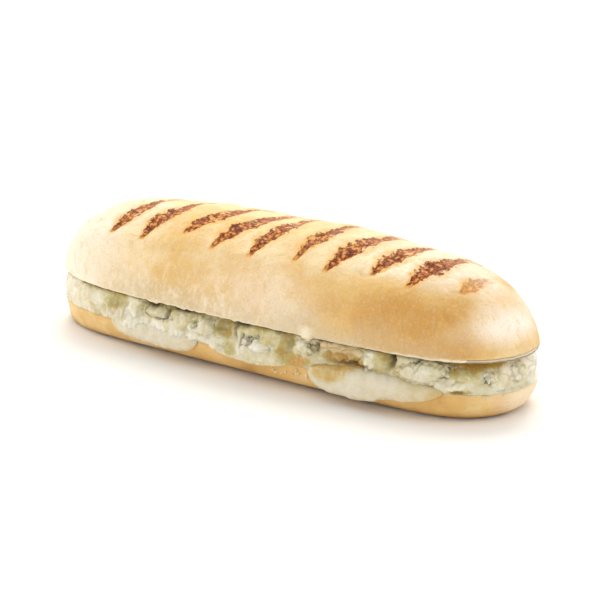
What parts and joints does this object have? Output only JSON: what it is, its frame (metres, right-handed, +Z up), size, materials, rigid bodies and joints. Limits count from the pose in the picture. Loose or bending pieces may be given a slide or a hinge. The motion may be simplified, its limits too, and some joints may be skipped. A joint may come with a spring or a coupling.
{
  "type": "panini",
  "caption": "Grilled panini: a long soft roll with diagonal grill marks, split and filled with melted mozzarella and blue cheese that show all round the slit.",
  "frame": {"origin": "middle of the flat base, on the surface that the panini rests on", "axes": "+X along the roll, -Y towards the side shown in the picture, +Z up"},
  "size_m": [0.2422, 0.0811, 0.0633],
  "materials": {
    "crust": "pale soft baked crust, floury, with brown grill marks",
    "crust_bottom": "golden baked crust, a little toasted where it met the grill",
    "melt": "melted cheese, straw to olive yellow, moist and slightly translucent",
    "mozzarella": "softened mozzarella, milky white, smooth and moist",
    "blue_cheese": "crumbly off-white cheese with grey-green veins"
  },
  "bodies": {
    "root": {"roll_top": "crust", "roll_bottom": "crust_bottom", "melted_cheese": "melt", "mozzarella_left": "mozzarella", "mozzarella_right": "mozzarella", "mozzarella_back": "mozzarella", "blue_cheese_1": "blue_cheese", "blue_cheese_2": "blue_cheese", "blue_cheese_3": "blue_cheese", "blue_cheese_4": "blue_cheese", "blue_cheese_5": "blue_cheese", "blue_cheese_6": "blue_cheese", "blue_cheese_7": "blue_cheese", "blue_cheese_8": "blue_cheese", "blue_cheese_9": "blue_cheese", "blue_cheese_10": "blue_cheese"}
  },
  "joints": []
}
